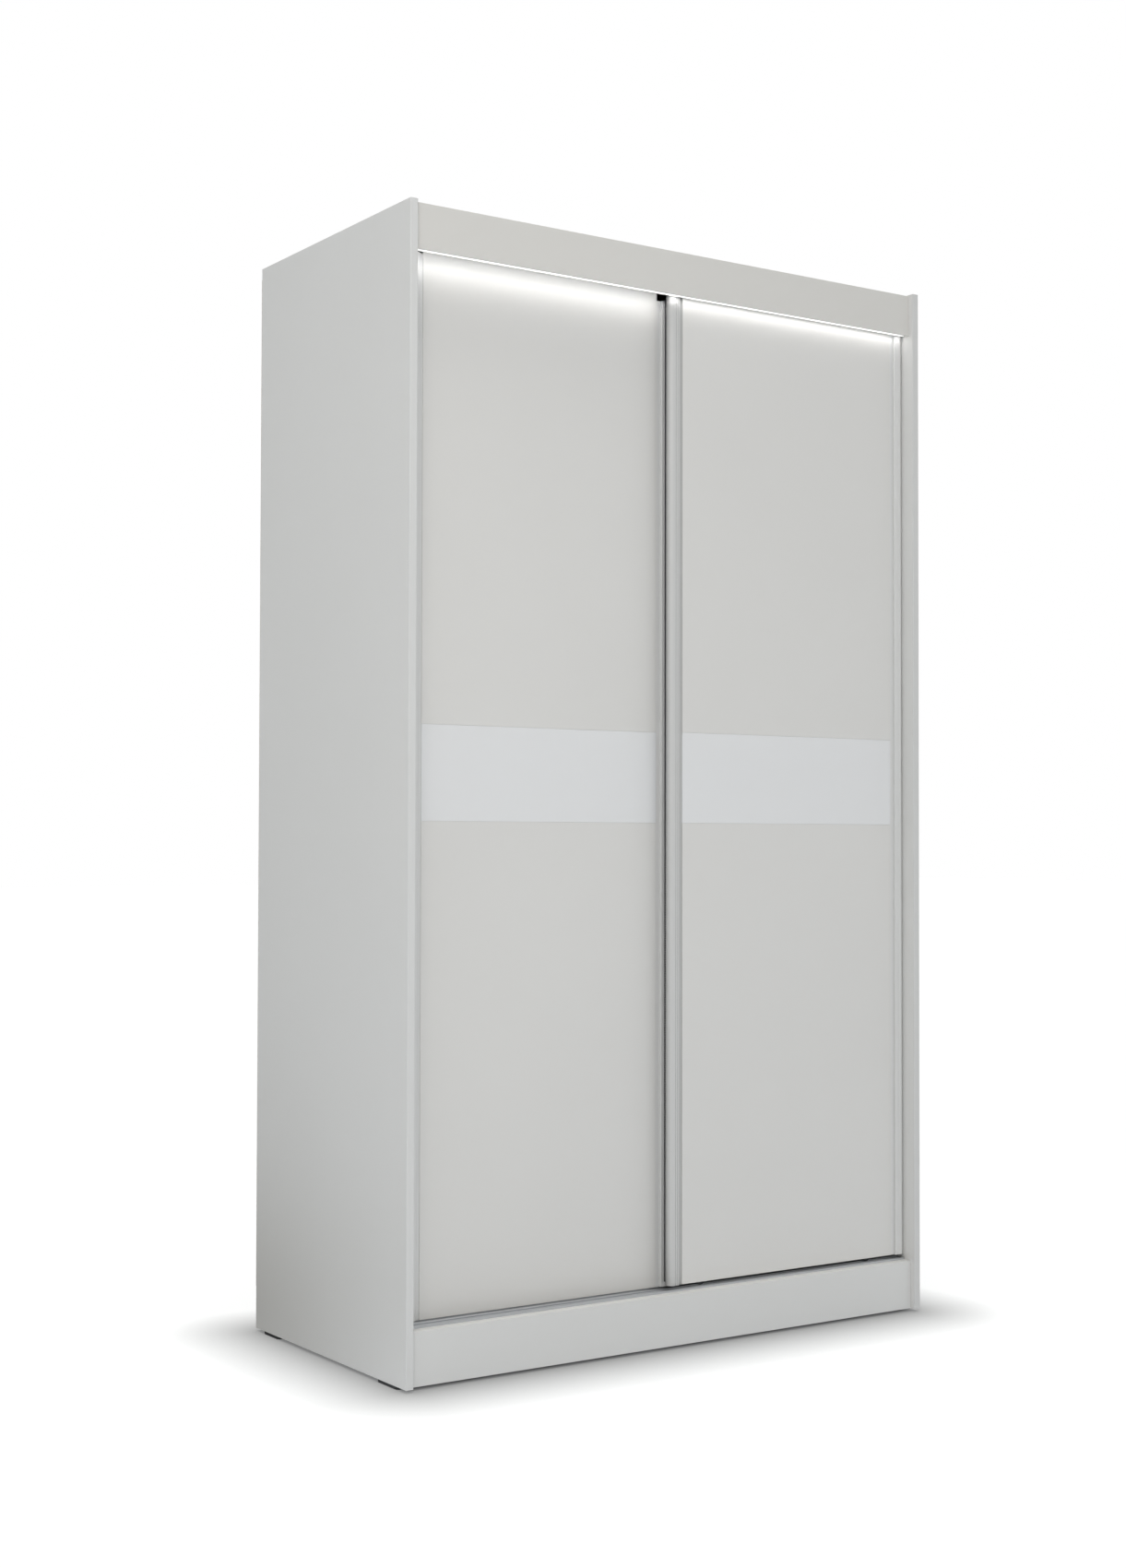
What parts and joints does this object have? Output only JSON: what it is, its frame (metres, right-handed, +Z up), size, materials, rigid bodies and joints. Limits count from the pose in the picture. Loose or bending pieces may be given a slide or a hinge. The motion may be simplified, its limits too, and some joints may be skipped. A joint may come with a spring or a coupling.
{
  "type": "sliding door wardrobe",
  "caption": "White wardrobe with two overlapping sliding doors, a glass strip across each, a lit fascia, a bay of shelves and a hanging bay.",
  "frame": {"origin": "on the floor, under the middle of the body's width and depth", "axes": "+Z up, +X to the right as seen from the front, the doors face -Y"},
  "size_m": [1.25, 0.61, 2.16],
  "materials": {
    "white_laminate": "matt white melamine laminate with a fine grain",
    "white_edging": "smooth white plastic edging",
    "hardboard": "white lacquered hardboard",
    "zinc_steel": "zinc plated",
    "bright_rail": "bright plated steel",
    "aluminium": "satin anodised",
    "light_strip": "frosted light diffuser",
    "white_plastic": "moulded white plastic",
    "black_rubber": "matt black rubber",
    "brush": "grey pile on a woven base",
    "white_glass": "glossy glass lacquered white on the back",
    "white_stile": "satin white foil on an extrusion",
    "grey_nylon": "moulded grey nylon"
  },
  "bodies": {
    "carcass": {"side_panel_left": "white_laminate", "side_panel_right": "white_laminate", "top_panel": "white_laminate", "bottom_panel": "white_laminate", "centre_partition": "white_laminate", "front_plinth": "white_laminate", "rear_plinth": "white_laminate", "base_stretcher": "white_laminate", "fascia": "white_laminate", "right_shelf": "white_laminate", "left_shelf_1": "white_laminate", "left_shelf_2": "white_laminate", "left_shelf_3": "white_laminate", "left_shelf_4": "white_laminate", "edging_left": "white_edging", "edging_right": "white_edging", "back_panel_left": "hardboard", "back_panel_right": "hardboard", "back_nails": "zinc_steel", "shelf_pins": "zinc_steel", "cam_locks": "zinc_steel", "cam_bolts": "zinc_steel", "partition_screws": "zinc_steel", "track_screws": "zinc_steel", "wall_brackets": "zinc_steel", "bracket_screws": "zinc_steel", "hanging_rail": "bright_rail", "rail_brackets": "bright_rail", "top_track": "aluminium", "bottom_track": "aluminium", "led_channel": "aluminium", "led_strip": "light_strip", "led_diffuser": "light_strip", "led_driver": "white_plastic", "led_lead": "white_plastic", "lead_clips": "white_plastic", "track_buffers": "black_rubber", "glides": "black_rubber"},
    "left_door": {"left_door_panel": "white_laminate", "left_door_axles": "zinc_steel", "left_door_screws": "zinc_steel", "left_door_glass": "white_glass", "left_door_outer_stile": "white_stile", "left_door_inner_stile": "white_stile", "left_door_top_guides": "grey_nylon", "left_door_roller_housings": "grey_nylon"},
    "right_door": {"right_door_panel": "white_laminate", "right_door_axles": "zinc_steel", "right_door_screws": "zinc_steel", "right_door_brush": "brush", "right_door_glass": "white_glass", "right_door_outer_stile": "white_stile", "right_door_inner_stile": "white_stile", "right_door_top_guides": "grey_nylon", "right_door_roller_housings": "grey_nylon"},
    "left_door_outer_wheel": {"left_door_outer_wheel": "grey_nylon"},
    "left_door_inner_wheel": {"left_door_inner_wheel": "grey_nylon"},
    "right_door_outer_wheel": {"right_door_outer_wheel": "grey_nylon"},
    "right_door_inner_wheel": {"right_door_inner_wheel": "grey_nylon"}
  },
  "joints": [
    {"name": "left_door_slide", "type": "slide", "parent": "carcass", "child": "left_door", "axis": [1, 0, 0], "range_m": [0, 0.594]},
    {"name": "right_door_slide", "type": "slide", "parent": "carcass", "child": "right_door", "axis": [1, 0, 0], "range_m": [-0.594, 0]},
    {"name": "left_door_outer_wheel_spin", "type": "hinge", "parent": "left_door", "child": "left_door_outer_wheel", "pos_m": [-0.5168, -0.22, 0.1233], "axis": [0, 1, 0], "continuous": true},
    {"name": "left_door_inner_wheel_spin", "type": "hinge", "parent": "left_door", "child": "left_door_inner_wheel", "pos_m": [-0.0772, -0.22, 0.1233], "axis": [0, 1, 0], "continuous": true},
    {"name": "right_door_outer_wheel_spin", "type": "hinge", "parent": "right_door", "child": "right_door_outer_wheel", "pos_m": [0.5168, -0.253, 0.1233], "axis": [0, 1, 0], "continuous": true},
    {"name": "right_door_inner_wheel_spin", "type": "hinge", "parent": "right_door", "child": "right_door_inner_wheel", "pos_m": [0.0772, -0.253, 0.1233], "axis": [0, 1, 0], "continuous": true}
  ],
  "couplings": [
    {"joint": "left_door_outer_wheel_spin", "follows": "left_door_slide", "rad_per_m": 83.333},
    {"joint": "left_door_inner_wheel_spin", "follows": "left_door_slide", "rad_per_m": 83.333},
    {"joint": "right_door_outer_wheel_spin", "follows": "right_door_slide", "rad_per_m": 83.333},
    {"joint": "right_door_inner_wheel_spin", "follows": "right_door_slide", "rad_per_m": 83.333}
  ]
}
